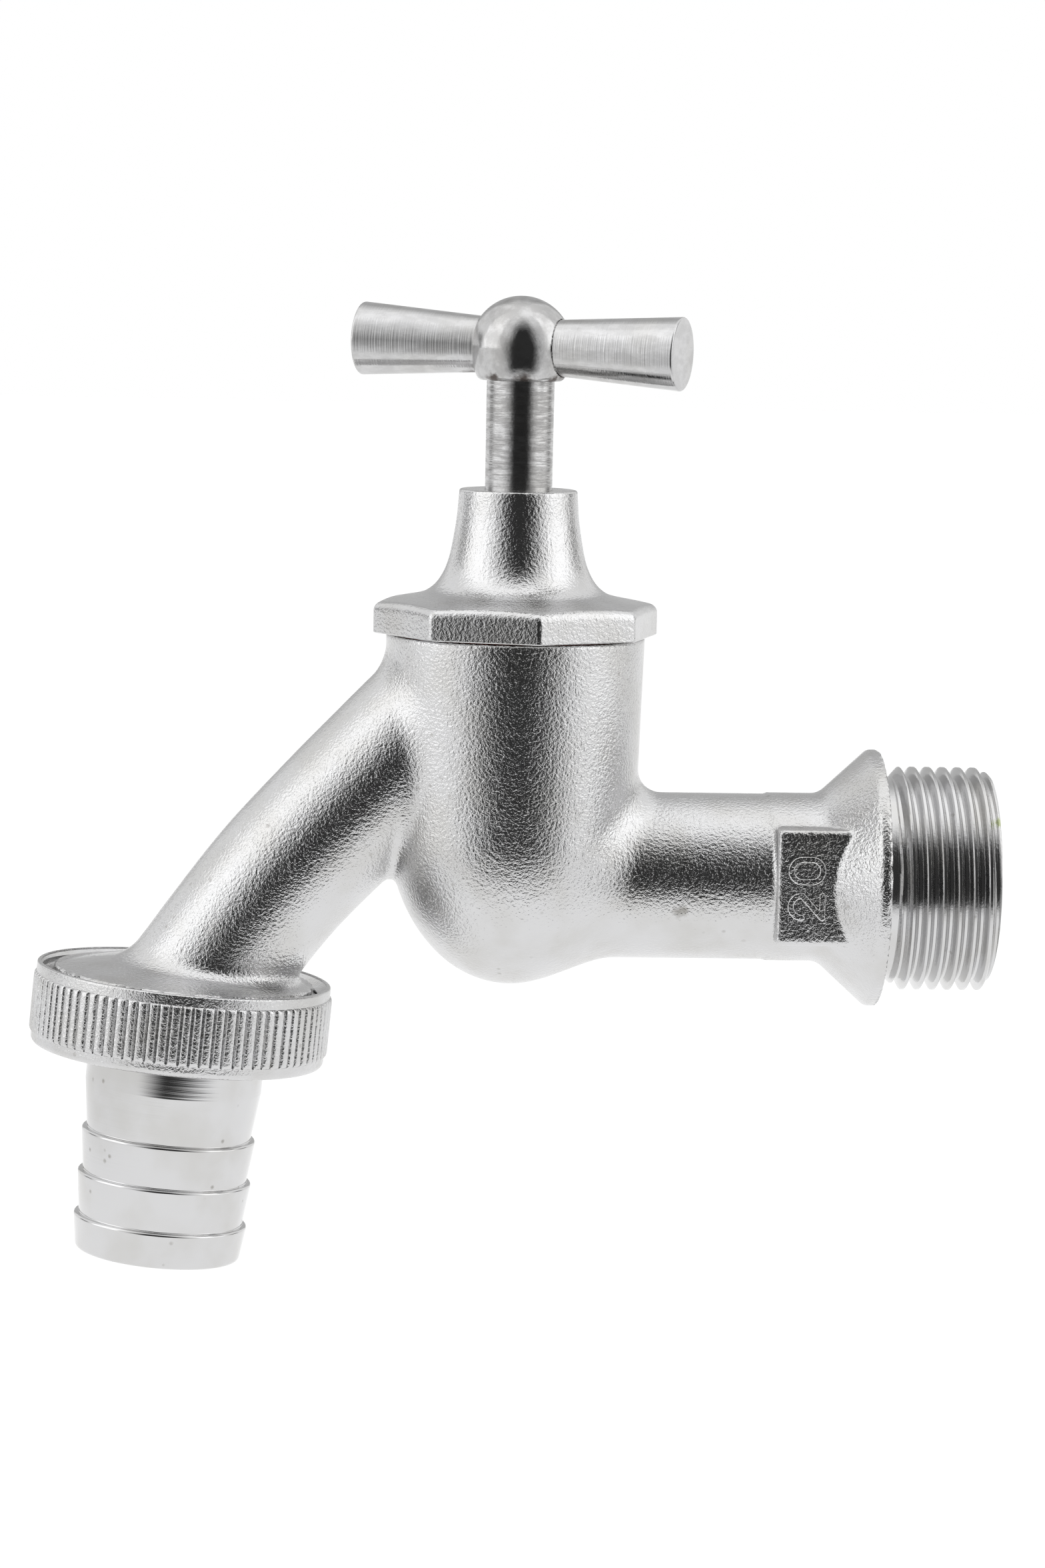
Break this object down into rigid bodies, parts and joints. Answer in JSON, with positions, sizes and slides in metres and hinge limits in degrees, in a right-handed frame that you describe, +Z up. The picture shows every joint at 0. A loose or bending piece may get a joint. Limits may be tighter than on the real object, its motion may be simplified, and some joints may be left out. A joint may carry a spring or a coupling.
{
  "type": "hose bib",
  "caption": "Chrome-plated draw-off tap with threaded inlet, T-handle on a rising spindle, knurled union nut and barbed hose tail.",
  "frame": {"origin": "centre of the wall collar's flat face, on the inlet axis", "axes": "+X out of the inlet towards the supply pipe, +Z up along the spindle, spout on the -X side"},
  "size_m": [0.1131, 0.0352, 0.1145],
  "materials": {
    "cast_chrome": "chrome over a fine blasted casting skin",
    "turned_chrome": "bright chrome over turned brass",
    "brass": "turned brass",
    "rubber": "matt black rubber",
    "fibre": "red vulcanised fibre",
    "steel": "stainless spring wire"
  },
  "bodies": {
    "root": {"valve_body": "cast_chrome", "bonnet": "cast_chrome", "bonnet_gasket": "fibre", "spindle_o_ring_lower": "rubber", "spindle_o_ring_upper": "rubber"},
    "valve_disc": {"jumper": "brass", "jumper_clip": "steel", "seat_washer": "rubber", "washer_plate": "brass", "washer_nut": "brass"},
    "handle": {"spindle": "turned_chrome", "handle_hub": "turned_chrome", "handle_arm_right": "turned_chrome", "handle_arm_left": "turned_chrome", "handle_stud": "brass"},
    "hose_connector": {"hose_tail": "turned_chrome", "hose_tail_gasket": "rubber"},
    "nut": {"union_nut": "turned_chrome"}
  },
  "joints": [
    {"name": "stem_lift", "type": "slide", "parent": "root", "child": "valve_disc", "axis": [0, 0, 1], "range_m": [0, 0.00676]},
    {"name": "handle_turn", "type": "hinge", "parent": "valve_disc", "child": "handle", "pos_m": [-0.0434, 0, 0.062], "axis": [0, 0, 1], "range_deg": [0, 810]},
    {"name": "tail_drop", "type": "slide", "parent": "root", "child": "hose_connector", "axis": [-0.0854, 0, -0.9963], "range_m": [0, 0.00463]},
    {"name": "union_nut_turn", "type": "hinge", "parent": "hose_connector", "child": "nut", "pos_m": [-0.08164, 0, -0.01229], "axis": [-0.0854, 0, -0.9963], "range_deg": [0, 720]}
  ],
  "couplings": [
    {"joint": "stem_lift", "follows": "handle_turn", "m_per_rad": 0.00047746},
    {"joint": "tail_drop", "follows": "union_nut_turn", "m_per_rad": 0.00036749}
  ]
}
